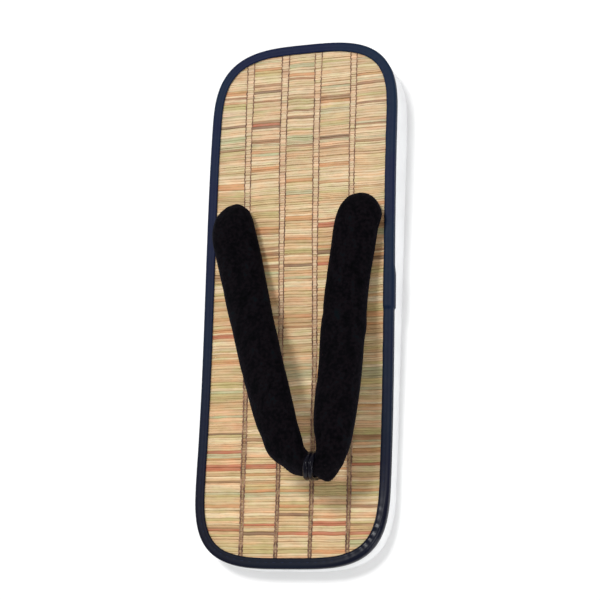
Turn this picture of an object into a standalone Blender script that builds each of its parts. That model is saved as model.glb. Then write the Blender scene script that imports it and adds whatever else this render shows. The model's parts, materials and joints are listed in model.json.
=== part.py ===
"""A zori sandal for the right foot.

A white foam wedge carries a straw mat that is bound with a vinyl tape. A padded strap runs forward from two
holes beside the heel to a fold over the toes, where a doubled cord ties it down through a third hole.

Metres, +Z up, +Y to the toe, +X to the little toe. The origin is on the floor under the middle of the sole.
"""

import math
from collections import namedtuple

import bmesh
import bpy
import numpy as np
from mathutils import Vector

# Outline of the sole, seen from above
LENGTH = 0.260
WIDTH_TOE = 0.0962
WIDTH_HEEL = 0.0956
TOE_DEPTH = 0.0475
TOE_SQUARENESS = 3.6
HEEL_DEPTH = 0.0445
HEEL_SQUARENESS = 3.2
END_STEPS = 14
SIDE_STEPS = 16

# Foam wedge: level under the toes, then an S-shaped rise to the heel
FOAM_TOE = 0.0110
FOAM_HEEL = 0.0198
RISE_START = 0.055
RISE_END = 0.219
FLOOR_EDGE_RADIUS = 0.0016

# Mat and binding tape
CLEARANCE = 0.0003
MAT_THICKNESS = 0.0022
TAPE_THICKNESS = 0.0008
TAPE_LIP = 0.0048
TAPE_EDGE_RADIUS = 0.0009

# Where the tape's ends overlap on the medial side. The upper end feathers out over a share of the lap
LAP_FROM_HEEL = 0.129
LAP_LENGTH = 0.019
LAP_RISE = 0.0006
LAP_STEP_WIDTH = 0.0003
LAP_FEATHER = 0.33

# Holes for the strap's two tails and for the toe cord, from the ends and the middle of the sole
SIDE_HOLE_FROM_HEEL = 0.087
SIDE_HOLE_ASIDE = 0.033
MEDIAL_HOLE_SETBACK = 0.003
TOE_HOLE_FROM_TOE = 0.0455
TOE_HOLE_ASIDE = 0.0145
HOLE_CLEARANCE = 0.0005

# Padded strap
STRAP_WIDTH = 0.0205
STRAP_THICKNESS = 0.0120
STRAP_SQUARENESS = 2.3
ARCH_LIFT = 0.0310
FOLD_AHEAD_OF_HOLE = 0.0040
FOLD_ASIDE_OF_HOLE = 0.0035
SECTION_SPACING = 0.0050
FOLD_SPACING = 0.0022
FOLD_ROLL = 10
SECTION_POINTS = 16

# Strap tails and their knots, in round recesses under the sole
TAIL_RADIUS = 0.0025
TAIL_KNOT_RADIUS = 0.0065
TAIL_KNOT_HEIGHT = 0.0060
KNOT_FLOOR_GAP = 0.0020
RECESS_CLEARANCE = 0.0010

# Doubled toe cord and its knot. Its loop round the fold opens from the post by an angle in degrees, and the
# post leans over a share of the way from the hole to the fold
CORD_RADIUS = 0.0012
CORD_PAIR_SPREAD = 0.0011
CORD_RUN_SPREAD = 0.0013
CORD_SEAT_GAP = 0.0006
CORD_BACK_SLACK = 0.0012
CORD_LOOP_OPENING = 14
CORD_LEAN = 0.9
CORD_KNOT_RADIUS = 0.0060
CORD_KNOT_HEIGHT = 0.0042
LOBE_SWEEP = 210
LOBE_POINTS = 6
LOOP_STEPS = 14

# One row for each section of an arm, from its hole to the fold. Along and across are shares of the way from
# the hole to the fold, lift of the arch's height over the mat, width and thickness of the strap's. The roll is
# in degrees, and turns the strap's outer edge down.
Section = namedtuple("Section", "along across lift width thickness roll")
LATERAL_ARM = (
    Section(0.000, 0.000, 0.030, 0.28, 0.46, 0),
    Section(0.004, 0.002, 0.090, 0.62, 0.62, 0),
    Section(0.022, 0.010, 0.170, 0.90, 0.86, 0),
    Section(0.068, 0.028, 0.210, 1.02, 0.99, 0),
    Section(0.170, 0.088, 0.235, 1.08, 1.00, 0),
    Section(0.330, 0.214, 0.380, 1.06, 1.00, 0),
    Section(0.485, 0.352, 0.580, 1.02, 1.00, 0),
    Section(0.640, 0.496, 0.770, 1.00, 1.00, 2),
    Section(0.790, 0.642, 0.940, 0.97, 1.00, 6),
    Section(0.882, 0.736, 1.010, 0.90, 1.00, 12),
    Section(0.934, 0.777, 1.020, 0.81, 0.86, 26),
    Section(0.970, 0.835, 0.960, 0.76, 0.68, 64),
    Section(0.994, 0.930, 0.892, 0.83, 0.69, 88),
)
MEDIAL_ARM = (
    Section(0.000, 0.000, 0.030, 0.28, 0.46, 0),
    Section(0.004, 0.006, 0.090, 0.62, 0.62, 0),
    Section(0.022, 0.030, 0.170, 0.88, 0.86, 0),
    Section(0.068, 0.090, 0.210, 1.02, 0.99, 0),
    Section(0.180, 0.210, 0.235, 1.05, 1.00, 0),
    Section(0.340, 0.320, 0.345, 1.04, 1.00, 0),
    Section(0.495, 0.320, 0.510, 1.04, 1.00, 0),
    Section(0.645, 0.260, 0.700, 1.02, 1.00, 0),
    Section(0.795, 0.235, 0.900, 0.98, 1.00, 4),
    Section(0.890, 0.230, 1.000, 0.88, 1.00, 10),
    Section(0.944, 0.250, 1.010, 0.82, 0.88, 20),
    Section(0.982, 0.430, 0.955, 0.82, 0.70, 54),
    Section(0.998, 0.790, 0.890, 0.84, 0.70, 90),
)
FOLD = Section(1.000, 1.000, 0.880, 0.84, 0.70, 90)

# A knot's outline, bottom to top, as shares of its height and of its radius
KnotStep = namedtuple("KnotStep", "height radius")
KNOT_OUTLINE = (
    KnotStep(0.00, 0.55),
    KnotStep(0.18, 0.88),
    KnotStep(0.45, 1.00),
    KnotStep(0.75, 0.88),
    KnotStep(0.94, 0.55),
)
TURNED_STEPS = 24

Finish = namedtuple("Finish", "colour roughness")
FOAM = Finish((0.86, 0.87, 0.88, 1.0), 0.55)
STRAW = Finish((0.72, 0.56, 0.33, 1.0), 0.60)
VINYL = Finish((0.012, 0.026, 0.085, 1.0), 0.28)
VELVET = Finish((0.006, 0.006, 0.008, 1.0), 0.90)
CORD = Finish((0.010, 0.011, 0.030, 1.0), 0.35)

TOE_TIP = LENGTH / 2
HEEL_TIP = -LENGTH / 2
TOE_HOLE = Vector((-TOE_HOLE_ASIDE, TOE_TIP - TOE_HOLE_FROM_TOE))
LATERAL_HOLE = Vector((SIDE_HOLE_ASIDE, HEEL_TIP + SIDE_HOLE_FROM_HEEL))
MEDIAL_HOLE = Vector((-SIDE_HOLE_ASIDE, HEEL_TIP + SIDE_HOLE_FROM_HEEL - MEDIAL_HOLE_SETBACK))
FOLD_PLACE = TOE_HOLE + Vector((-FOLD_ASIDE_OF_HOLE, FOLD_AHEAD_OF_HOLE))


def ease(share):
    """From 0 to 1, level at both ends."""
    share = min(max(share, 0.0), 1.0)
    return share * share * (3 - 2 * share)


def foam_top(y):
    rise = (TOE_TIP - y - RISE_START) / (RISE_END - RISE_START)
    return FOAM_TOE + (FOAM_HEEL - FOAM_TOE) * ease(rise)


def mat_top(y):
    return foam_top(y) + CLEARANCE + MAT_THICKNESS


def half_width(y):
    toe_start = TOE_TIP - TOE_DEPTH
    heel_start = HEEL_TIP + HEEL_DEPTH
    share = (y - heel_start) / (toe_start - heel_start)
    return (WIDTH_HEEL + (WIDTH_TOE - WIDTH_HEEL) * share) / 2


def round_end(squareness):
    """Shares of the half width and of the end's depth, from the tip round to the straight side."""
    power = 2 / squareness
    turns = [math.pi / 2 * step / END_STEPS for step in range(END_STEPS)]
    return [(math.sin(turn) ** power, math.cos(turn) ** power) for turn in turns]


def outline():
    """The sole's edge from the toe's tip down the lateral side and back up the medial one."""
    toe = [(across, TOE_TIP - TOE_DEPTH * (1 - along)) for across, along in round_end(TOE_SQUARENESS)]
    heel = [(across, HEEL_TIP + HEEL_DEPTH * (1 - along)) for across, along in round_end(HEEL_SQUARENESS)]
    side = [(1.0, y) for y in np.linspace(TOE_TIP - TOE_DEPTH, HEEL_TIP + HEEL_DEPTH, SIDE_STEPS + 1)]
    half = [Vector((across * half_width(y), y)) for across, y in toe + side + heel[::-1]]
    mirrored = [Vector((-point.x, point.y)) for point in half[-2:0:-1]]
    return half + mirrored


def inset(points, distance):
    """The outline moved inward, each point along its own normal."""
    moved = []
    for before, point, after in zip(points[-1:] + points, points, points[1:] + points[:1]):
        along = (after - before).normalized()
        moved.append(point + Vector((along.y, -along.x)) * distance)
    return moved


def raised(points, height):
    """The outline as a ring in space, at a height that is a number or a function of y."""
    level = height if callable(height) else lambda y: height
    return [Vector((point.x, point.y, level(point.y))) for point in points]


def join_rings(mesh, rings, closed=False):
    """Faces between each ring and the next one, and from the last to the first where the stack is closed."""
    rows = [[mesh.verts.new(point) for point in ring] for ring in rings]
    pairs = zip(rows, rows[1:] + rows[:1]) if closed else zip(rows, rows[1:])
    for lower, upper in pairs:
        for i, start in enumerate(lower):
            following = (i + 1) % len(lower)
            mesh.faces.new((start, lower[following], upper[following], upper[i]))
    return rows


def close_across(mesh, ring):
    """Strips from side to side over a ring whose halves mirror each other."""
    count = len(ring)
    for i in range(count // 2):
        corners = [ring[i], ring[i + 1], ring[count - i - 1], ring[-i]]
        mesh.faces.new(list(dict.fromkeys(corners)))


def add_part(name, mesh, finish, sharp_angle=35):
    """An object in the sandal's collection from a bmesh, with its own material."""
    bmesh.ops.recalc_face_normals(mesh, faces=mesh.faces)
    data = bpy.data.meshes.new(name)
    mesh.to_mesh(data)
    mesh.free()
    data.shade_smooth()
    data.set_sharp_from_angle(angle=math.radians(sharp_angle))
    part = bpy.data.objects.new(name, data)
    SANDAL.objects.link(part)
    material = bpy.data.materials.new(name)
    material.use_nodes = True
    shader = material.node_tree.nodes["Principled BSDF"]
    shader.inputs["Base Color"].default_value = finish.colour
    shader.inputs["Roughness"].default_value = finish.roughness
    shader.inputs["Metallic"].default_value = 0.0
    data.materials.append(material)
    return part


def turned_helper(name, centre, outline_up):
    """A hidden helper, turned about an upright axis, from its (radius, height) pairs, bottom to top."""
    data = bpy.data.meshes.new(name)
    points = [(radius, 0.0, height) for radius, height in reversed(outline_up)]
    data.from_pydata(points, [(i, i + 1) for i in range(len(points) - 1)], [])
    helper = bpy.data.objects.new(name, data)
    helper.location = (centre.x, centre.y, 0.0)
    helper.hide_render = True
    helper.display_type = "WIRE"
    CUTTERS.objects.link(helper)
    screw = helper.modifiers.new("turn", "SCREW")
    screw.steps = TURNED_STEPS
    screw.render_steps = TURNED_STEPS
    screw.use_merge_vertices = True
    screw.merge_threshold = 0.00001
    return helper


def combine(part, helper, operation):
    boolean = part.modifiers.new(helper.name, "BOOLEAN")
    boolean.operation = operation
    boolean.object = helper


def hole_cutter(name, centre, hole_radius, recess_radius, recess_height):
    """A stepped pin: a recess from below the sole, and above it a hole through foam and mat."""
    below = -recess_height
    above = mat_top(centre.y) + recess_height
    return turned_helper(name, centre, (
        (0.0, below),
        (recess_radius, below),
        (recess_radius, recess_height),
        (hole_radius, recess_height),
        (hole_radius, above),
        (0.0, above),
    ))


def make_sole(holes):
    edge = outline()
    radius = FLOOR_EDGE_RADIUS
    turned = radius * (1 - math.sin(math.pi / 4))
    mesh = bmesh.new()
    rows = join_rings(mesh, [
        raised(inset(edge, radius), 0.0),
        raised(inset(edge, turned), turned),
        raised(edge, radius),
        raised(edge, foam_top),
    ])
    close_across(mesh, rows[0])
    close_across(mesh, rows[-1])
    sole = add_part("sole", mesh, FOAM)
    for hole in holes:
        combine(sole, hole, "DIFFERENCE")


def make_mat(holes):
    edge = inset(outline(), TAPE_THICKNESS + CLEARANCE)
    mesh = bmesh.new()
    rows = join_rings(mesh, [
        raised(edge, lambda y: foam_top(y) + CLEARANCE),
        raised(edge, mat_top),
    ])
    close_across(mesh, rows[0])
    close_across(mesh, rows[-1])
    mat = add_part("straw_mat", mesh, STRAW)
    for hole in holes:
        combine(mat, hole, "DIFFERENCE")


def lap_share(point):
    """How far the tape stands out at its lap: full at the lap's toe end, none past it, feathered to the heel."""
    if point.x > 0:
        return 0.0
    along = (point.y - (HEEL_TIP + LAP_FROM_HEEL - LAP_LENGTH)) / LAP_LENGTH
    return ease(along / LAP_FEATHER) if along <= 1 else 0.0


def outline_with_lap():
    """The outline with two more points close together at the step of the tape's lap."""
    points = outline()
    step_y = HEEL_TIP + LAP_FROM_HEEL
    crossing = next(i for i, point in enumerate(points) if point.x < 0 and point.y > step_y)
    step_points = [Vector((-half_width(y), y)) for y in (step_y, step_y + LAP_STEP_WIDTH)]
    return points[:crossing] + step_points + points[crossing:]


def make_binding():
    """The tape in section, from the foot of its wall up over the mat's edge and back underneath."""
    edge = outline_with_lap()
    rises = [LAP_RISE * lap_share(point) for point in edge]
    stack = CLEARANCE + MAT_THICKNESS + CLEARANCE
    top = stack + TAPE_THICKNESS
    radius = TAPE_EDGE_RADIUS
    turned = radius * (1 - math.sin(math.pi / 4))
    outer = (
        (0.0, CLEARANCE),
        (0.0, top - radius),
        (turned, top - turned),
        (radius, top),
        (TAPE_LIP - TAPE_THICKNESS / 2, top),
    )
    inner = (
        (TAPE_LIP, stack + TAPE_THICKNESS / 3),
        (TAPE_LIP, stack),
        (TAPE_THICKNESS, stack),
        (TAPE_THICKNESS, CLEARANCE),
    )
    rings = []
    for is_outer, profile in ((True, outer), (False, inner)):
        for distance, height in profile:
            ring = []
            for point, rise in zip(inset(edge, distance), rises):
                lifted = height + (rise if is_outer and distance > 0 else 0.0)
                aside = rise if is_outer and distance < radius else 0.0
                ring.append(Vector((point.x - aside, point.y, foam_top(point.y) + lifted)))
            rings.append(ring)
    mesh = bmesh.new()
    join_rings(mesh, rings, closed=True)
    add_part("binding", mesh, VINYL, sharp_angle=50)


def arm_rows(hole, sections):
    """Place, half width, half thickness and roll of each section, in space."""
    rows = []
    for section in sections:
        x = hole.x + (FOLD_PLACE.x - hole.x) * section.across
        y = hole.y + (FOLD_PLACE.y - hole.y) * section.along
        z = mat_top(y) + ARCH_LIFT * section.lift
        half = STRAP_WIDTH * section.width / 2
        depth = STRAP_THICKNESS * section.thickness / 2
        rows.append((x, y, z, half, depth, math.radians(section.roll)))
    return rows


def refine(rows):
    """More rows, on a smooth curve through the given ones, closer together where the strap rolls."""
    rows = np.array(rows)
    steps = np.linalg.norm(np.diff(rows[:, :3], axis=0), axis=1)
    slopes = np.diff(rows, axis=0) / steps[:, None]
    weights = steps[1:] / (steps[1:] + steps[:-1])
    inner = slopes[:-1] * weights[:, None] + slopes[1:] * (1 - weights)[:, None]
    tangents = np.vstack([slopes[:1], inner, slopes[-1:]])
    fine = []
    for i, step in enumerate(steps):
        rolls = abs(rows[i + 1, 5] - rows[i, 5]) > math.radians(FOLD_ROLL)
        parts = max(1, round(step / (FOLD_SPACING if rolls else SECTION_SPACING)))
        for part in range(parts):
            t = part / parts
            fine.append(
                rows[i] * (1 + 2 * t) * (1 - t) ** 2
                + rows[i + 1] * t * t * (3 - 2 * t)
                + tangents[i] * step * t * (1 - t) ** 2
                + tangents[i + 1] * step * t * t * (t - 1)
            )
    return np.vstack(fine + [rows[-1]])


def tail_rows(hole):
    """The strap's tail from the knot's underside up to the mouth of its hole."""
    rows = []
    for step in KNOT_OUTLINE:
        radius = TAIL_KNOT_RADIUS * step.radius
        rows.append((hole.x, hole.y, KNOT_FLOOR_GAP + TAIL_KNOT_HEIGHT * step.height, radius, radius, 0.0))
    for height in (KNOT_FLOOR_GAP + TAIL_KNOT_HEIGHT + TAIL_RADIUS / 2, mat_top(hole.y)):
        rows.append((hole.x, hole.y, height, TAIL_RADIUS, TAIL_RADIUS, 0.0))
    return rows


def oval(place, side, up, half, depth):
    """A section's ring: an ellipse, slightly squared."""
    ring = []
    for i in range(SECTION_POINTS):
        turn = 2 * math.pi * i / SECTION_POINTS
        across, along = math.cos(turn), math.sin(turn)
        size = (abs(across) ** STRAP_SQUARENESS + abs(along) ** STRAP_SQUARENESS) ** (-1 / STRAP_SQUARENESS)
        ring.append(place + side * (half * across * size) + up * (depth * along * size))
    return ring


def strap_rings():
    """Rings from the lateral knot along that arm, round the fold and back to the medial knot. A ring stands
    across the strap's path, and its width lies across the way that the path heads over the mat."""
    lateral = arm_rows(LATERAL_HOLE, LATERAL_ARM + (FOLD,))
    medial = arm_rows(MEDIAL_HOLE, MEDIAL_ARM)
    arms = refine(lateral + medial[::-1])
    tail = len(tail_rows(LATERAL_HOLE))
    rows = np.vstack([tail_rows(LATERAL_HOLE), arms, tail_rows(MEDIAL_HOLE)[::-1]])
    places = rows[:, :3]
    last = len(rows) - 1
    rings = []
    for i, (place, half, depth, roll) in enumerate(zip(places, rows[:, 3], rows[:, 4], rows[:, 5])):
        near = min(max(i, tail + 2), last - tail - 2)
        heading = Vector(places[near + 2] - places[near - 2])
        heading.z = 0
        heading.normalize()
        if tail <= i <= last - tail:
            tangent = Vector(places[i + 1] - places[i - 1]).normalized()
        else:
            tangent = Vector((0, 0, 1 if i < tail else -1))
        flat_side = heading.cross(Vector((0, 0, 1)))
        flat_up = flat_side.cross(tangent).normalized()
        side = flat_side * math.cos(roll) - flat_up * math.sin(roll)
        up = flat_up * math.cos(roll) + flat_side * math.sin(roll)
        rings.append(oval(Vector(place), side, up, half, depth))
    return rings


def make_strap():
    mesh = bmesh.new()
    rows = join_rings(mesh, strap_rings())
    mesh.faces.new(rows[0])
    mesh.faces.new(rows[-1])
    add_part("strap", mesh, VELVET, sharp_angle=60)


def cord_path():
    """One run of the toe cord: up through its hole, round the strap's fold and down again, in a plane across
    the strap. It leans forward and to the medial side between the mat and the fold."""
    fold = Vector((*FOLD_PLACE, mat_top(FOLD_PLACE.y) + ARCH_LIFT * FOLD.lift))
    reach = STRAP_THICKNESS * FOLD.thickness / 2 + CORD_SEAT_GAP + CORD_RADIUS
    rise = STRAP_WIDTH * FOLD.width / 2 + CORD_SEAT_GAP + CORD_RADIUS
    mouth = mat_top(TOE_HOLE.y) + CORD_RADIUS
    knot_middle = KNOT_FLOOR_GAP + CORD_KNOT_HEIGHT / 2
    first = math.asin(CORD_RUN_SPREAD / reach) + math.radians(CORD_LOOP_OPENING)
    loop = []
    for step in range(LOOP_STEPS + 1):
        turn = first + (2 * math.pi - 2 * first) * step / LOOP_STEPS
        span = reach if turn < math.pi else reach + CORD_BACK_SLACK
        loop.append(fold + Vector((0, span * math.sin(turn), -rise * math.cos(turn))))
    under_fold = fold.z - rise - CORD_RADIUS
    lean = (FOLD_PLACE - TOE_HOLE) * CORD_LEAN
    post = [Vector((*TOE_HOLE, knot_middle)), Vector((*TOE_HOLE, foam_top(TOE_HOLE.y)))]
    for share in (0.0, 0.5, 1.0):
        post.append(Vector((*(TOE_HOLE + lean * share), mouth + (under_fold - mouth) * share)))
    ahead = Vector((0, CORD_RUN_SPREAD, 0))
    front = [point + ahead for point in post]
    back = [point - ahead for point in post]
    return front + loop + back[::-1]


def doubled_section(place, side, up):
    """The outline of two round cords lying side by side."""
    ring = []
    for direction in (1, -1):
        centre = place + side * CORD_PAIR_SPREAD * direction
        for step in range(LOBE_POINTS):
            turn = math.radians(LOBE_SWEEP * (step / (LOBE_POINTS - 1) - 0.5))
            offset = side * math.cos(turn) + up * math.sin(turn)
            ring.append(centre + offset * CORD_RADIUS * direction)
    return ring


def make_toe_cord():
    path = cord_path()
    side = Vector((1, 0, 0))
    rings = []
    for i, place in enumerate(path):
        tangent = (path[min(i + 1, len(path) - 1)] - path[max(i - 1, 0)]).normalized()
        rings.append(doubled_section(place, side, side.cross(tangent).normalized()))
    mesh = bmesh.new()
    rows = join_rings(mesh, rings)
    mesh.faces.new(rows[0])
    mesh.faces.new(rows[-1])
    cord = add_part("toe_cord", mesh, CORD, sharp_angle=60)
    knot = [(CORD_KNOT_RADIUS * step.radius, KNOT_FLOOR_GAP + CORD_KNOT_HEIGHT * step.height)
            for step in KNOT_OUTLINE]
    ends = [(0.0, knot[0][1]), (0.0, knot[-1][1])]
    combine(cord, turned_helper("toe_cord_knot", TOE_HOLE, ends[:1] + knot + ends[1:]), "UNION")


for old in list(bpy.data.objects):
    bpy.data.objects.remove(old, do_unlink=True)
SANDAL = bpy.data.collections.new("zori_sandal")
CUTTERS = bpy.data.collections.new("cutters")
for collection in (SANDAL, CUTTERS):
    bpy.context.scene.collection.children.link(collection)

tail_hole = TAIL_RADIUS + HOLE_CLEARANCE
tail_recess = (TAIL_KNOT_RADIUS + RECESS_CLEARANCE, KNOT_FLOOR_GAP + TAIL_KNOT_HEIGHT + RECESS_CLEARANCE)
cord_hole = math.hypot(CORD_PAIR_SPREAD + CORD_RADIUS, CORD_RUN_SPREAD + CORD_RADIUS) + HOLE_CLEARANCE
cord_recess = (CORD_KNOT_RADIUS + RECESS_CLEARANCE, KNOT_FLOOR_GAP + CORD_KNOT_HEIGHT + RECESS_CLEARANCE)
strap_holes = [
    hole_cutter("lateral_hole", LATERAL_HOLE, tail_hole, *tail_recess),
    hole_cutter("medial_hole", MEDIAL_HOLE, tail_hole, *tail_recess),
    hole_cutter("toe_hole", TOE_HOLE, cord_hole, *cord_recess),
]
make_sole(strap_holes)
make_mat(strap_holes)
make_binding()
make_strap()
make_toe_cord()
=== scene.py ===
"""The looks of the zori sandal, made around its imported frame.

Metres, in the frame's axes: +Z up, +Y to the toe, +X to the little toe.
"""

import json
import math
import random
from collections import namedtuple

import bmesh
import bpy
import numpy as np
from mathutils import Matrix, Vector, noise

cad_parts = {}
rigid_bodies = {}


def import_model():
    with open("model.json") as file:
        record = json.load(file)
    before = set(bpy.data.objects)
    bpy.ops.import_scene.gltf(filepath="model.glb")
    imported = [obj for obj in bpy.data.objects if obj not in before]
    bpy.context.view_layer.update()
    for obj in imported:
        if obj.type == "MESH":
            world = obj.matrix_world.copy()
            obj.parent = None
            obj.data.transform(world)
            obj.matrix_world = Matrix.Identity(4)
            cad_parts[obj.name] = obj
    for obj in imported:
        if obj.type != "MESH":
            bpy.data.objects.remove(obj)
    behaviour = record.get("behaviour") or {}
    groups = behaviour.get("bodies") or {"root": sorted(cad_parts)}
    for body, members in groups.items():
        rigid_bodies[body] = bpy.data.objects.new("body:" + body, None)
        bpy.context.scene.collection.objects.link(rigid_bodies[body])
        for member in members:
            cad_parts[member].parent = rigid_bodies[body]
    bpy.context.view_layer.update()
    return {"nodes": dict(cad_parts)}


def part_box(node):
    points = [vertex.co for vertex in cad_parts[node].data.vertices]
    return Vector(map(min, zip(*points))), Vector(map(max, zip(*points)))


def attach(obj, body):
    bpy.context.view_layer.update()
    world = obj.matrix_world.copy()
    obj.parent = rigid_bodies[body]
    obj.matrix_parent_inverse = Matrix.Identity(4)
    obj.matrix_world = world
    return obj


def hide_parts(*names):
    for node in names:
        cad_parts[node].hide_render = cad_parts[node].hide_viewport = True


for old in list(bpy.data.objects):
    bpy.data.objects.remove(old, do_unlink=True)
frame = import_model()

# Sizes read from the frame
SOLE_LOW, SOLE_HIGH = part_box("sole")
TOE_TIP = SOLE_HIGH.y
HEEL_TIP = SOLE_LOW.y

# Sizes that the frame's pieces were made with
WIDTH_TOE = 0.0962
WIDTH_HEEL = 0.0956
TOE_DEPTH = 0.0475
TOE_SQUARENESS = 3.6
HEEL_DEPTH = 0.0445
HEEL_SQUARENESS = 3.2
CLEARANCE = 0.0003
MAT_THICKNESS = 0.0022
TAPE_THICKNESS = 0.0008
TAPE_LIP = 0.0048
TAPE_EDGE_RADIUS = 0.0009
TOE_HOLE = Vector((-0.0145, TOE_TIP - 0.0455))
SIDE_HOLES = (Vector((0.033, HEEL_TIP + 0.087)), Vector((-0.033, HEEL_TIP + 0.084)))
CORD_HOLE_RADIUS = 0.0039
TAIL_HOLE_RADIUS = 0.0030
CORD_RADIUS = 0.0012

# How finely the sole's edge is worked out
INSET_STEPS = 8
QUARTER_STEPS = 400
TANGENT_REACH = 0.0006

SEED = 7


def srgb(red, green, blue):
    """A linear colour from the 0 to 255 values that a picture shows."""
    linear = [((c / 255 + 0.055) / 1.055) ** 2.4 if c > 10 else c / 255 / 12.92 for c in (red, green, blue)]
    return (*linear, 1.0)


def ease(share):
    """From 0 to 1, level at both ends."""
    share = min(max(share, 0.0), 1.0)
    return share * share * (3 - 2 * share)


def changed(y, stretch):
    """From 0 to 1 over a stretch along the sole, given as its start and its length."""
    start, length = stretch
    return ease((y - start) / length)


def wander(a, b=0.0, c=0.0):
    """Smooth noise from about -1 to 1."""
    return noise.noise(Vector((a, b, c)))


# Shape of the sole, from the frame


def height_along(node):
    """A function that gives the height of a node's top at a distance along the sole."""
    points = np.array([v.co for v in frame["nodes"][node].data.vertices])
    steps = np.round(points[:, 1], 5)
    lengths = np.unique(steps)
    tops = np.array([points[steps == y, 2].max() for y in lengths])
    return lambda y: float(np.interp(y, lengths, tops))


mat_top = height_along("straw_mat")


def foam_top(y):
    return mat_top(y) - MAT_THICKNESS - CLEARANCE


def half_width(y):
    """Half the sole's width at a distance along it, none past its tips."""
    toe_start = TOE_TIP - TOE_DEPTH
    heel_start = HEEL_TIP + HEEL_DEPTH
    share = (y - heel_start) / (toe_start - heel_start)
    straight = (WIDTH_HEEL + (WIDTH_TOE - WIDTH_HEEL) * share) / 2
    if y > toe_start:
        past, power = (y - toe_start) / TOE_DEPTH, TOE_SQUARENESS
    else:
        past, power = (heel_start - y) / HEEL_DEPTH, HEEL_SQUARENESS
    if past <= 0:
        return straight
    return straight * max(1 - past ** power, 0.0) ** (1 / power)


def inset_half_width(y, inset):
    """Half the width at a distance along the sole of what lies an inset or more inside its edge."""
    shifts = [inset * step / INSET_STEPS for step in range(-INSET_STEPS, INSET_STEPS + 1)]
    return min(half_width(y + shift) - math.sqrt(inset * inset - shift * shift) for shift in shifts)


class Edge:
    """The sole's edge from the toe's tip, round by the lateral side, measured along its length."""

    def __init__(self):
        quarter = [math.pi / 2 * step / QUARTER_STEPS for step in range(QUARTER_STEPS + 1)]
        toe = self.end(quarter, TOE_DEPTH, TOE_SQUARENESS, TOE_TIP, WIDTH_TOE, 1)
        heel = self.end(quarter, HEEL_DEPTH, HEEL_SQUARENESS, HEEL_TIP, WIDTH_HEEL, -1)
        lateral = toe + heel[::-1]
        points = np.array(lateral + [(-x, y) for x, y in lateral[-2::-1]])
        self.points = points
        self.lengths = np.concatenate([[0], np.cumsum(np.linalg.norm(np.diff(points, axis=0), axis=1))])
        self.length = float(self.lengths[-1])

    @staticmethod
    def end(turns, depth, squareness, tip, width, side):
        return [
            (width / 2 * math.sin(turn) ** (2 / squareness),
             tip - side * depth * (1 - abs(math.cos(turn)) ** (2 / squareness)))
            for turn in turns
        ]

    def place(self, along):
        along %= self.length
        return Vector([float(np.interp(along, self.lengths, self.points[:, axis])) for axis in (0, 1)])

    def inward(self, along):
        ahead = (self.place(along + TANGENT_REACH) - self.place(along - TANGENT_REACH)).normalized()
        return Vector((ahead.y, -ahead.x))


# Making pieces

# A Mix node's sockets for colours
MIX_FIRST = 6
MIX_SECOND = 7
MIX_RESULT = 2


def material(name, colour, roughness):
    made = bpy.data.materials.new(name)
    made.use_nodes = True
    shader = made.node_tree.nodes["Principled BSDF"]
    shader.inputs["Base Color"].default_value = colour
    shader.inputs["Roughness"].default_value = roughness
    return made


class Nodes:
    """Short calls for a material's node tree."""

    def __init__(self, made):
        self.tree = made.node_tree
        self.shader = self.tree.nodes["Principled BSDF"]
        self.places = self.tree.nodes.new("ShaderNodeTexCoord").outputs["Object"]

    def link(self, source, target):
        self.tree.links.new(source, target)

    def feed(self, socket, value):
        """Give a socket what another one puts out, or a constant."""
        if isinstance(value, bpy.types.NodeSocket):
            self.link(value, socket)
        else:
            socket.default_value = value

    def stretched(self, scale):
        mapping = self.tree.nodes.new("ShaderNodeMapping")
        mapping.inputs["Scale"].default_value = scale
        self.link(self.places, mapping.inputs["Vector"])
        return mapping.outputs["Vector"]

    def noise(self, scale, detail=2.0, stretch=None):
        texture = self.tree.nodes.new("ShaderNodeTexNoise")
        texture.inputs["Scale"].default_value = scale
        texture.inputs["Detail"].default_value = detail
        self.link(self.stretched(stretch) if stretch else self.places, texture.inputs["Vector"])
        return texture.outputs["Fac"]

    def ramp(self, source, *stops):
        ramp = self.tree.nodes.new("ShaderNodeValToRGB")
        elements = ramp.color_ramp.elements
        while len(elements) < len(stops):
            elements.new(0.5)
        for element, (position, colour) in zip(elements, stops):
            element.position = position
            element.color = colour
        self.link(source, ramp.inputs["Fac"])
        return ramp.outputs["Color"]

    def along(self, start, end):
        """From 0 to 1 between two distances along the sole."""
        parts = self.tree.nodes.new("ShaderNodeSeparateXYZ")
        self.link(self.places, parts.inputs["Vector"])
        node = self.tree.nodes.new("ShaderNodeMapRange")
        node.inputs["From Min"].default_value = start
        node.inputs["From Max"].default_value = end
        self.link(parts.outputs["Y"], node.inputs["Value"])
        return node.outputs["Result"]

    def attribute(self, name):
        node = self.tree.nodes.new("ShaderNodeAttribute")
        node.attribute_name = name
        return node.outputs["Color"]

    def mix(self, share, first, second, blend="MIX"):
        node = self.tree.nodes.new("ShaderNodeMix")
        node.data_type = "RGBA"
        node.blend_type = blend
        self.feed(node.inputs["Factor"], share)
        self.feed(node.inputs[MIX_FIRST], first)
        self.feed(node.inputs[MIX_SECOND], second)
        return node.outputs[MIX_RESULT]

    def range(self, source, low, high):
        node = self.tree.nodes.new("ShaderNodeMapRange")
        node.inputs["To Min"].default_value = low
        node.inputs["To Max"].default_value = high
        self.link(source, node.inputs["Value"])
        return node.outputs["Result"]

    def bump(self, height, distance, strength=1.0, after=None):
        node = self.tree.nodes.new("ShaderNodeBump")
        node.inputs["Distance"].default_value = distance
        node.inputs["Strength"].default_value = strength
        self.link(height, node.inputs["Height"])
        if after is not None:
            self.link(after, node.inputs["Normal"])
        return node.outputs["Normal"]

    def set(self, **sockets):
        for name, value in sockets.items():
            self.feed(self.shader.inputs[name.replace("_", " ")], value)


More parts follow.
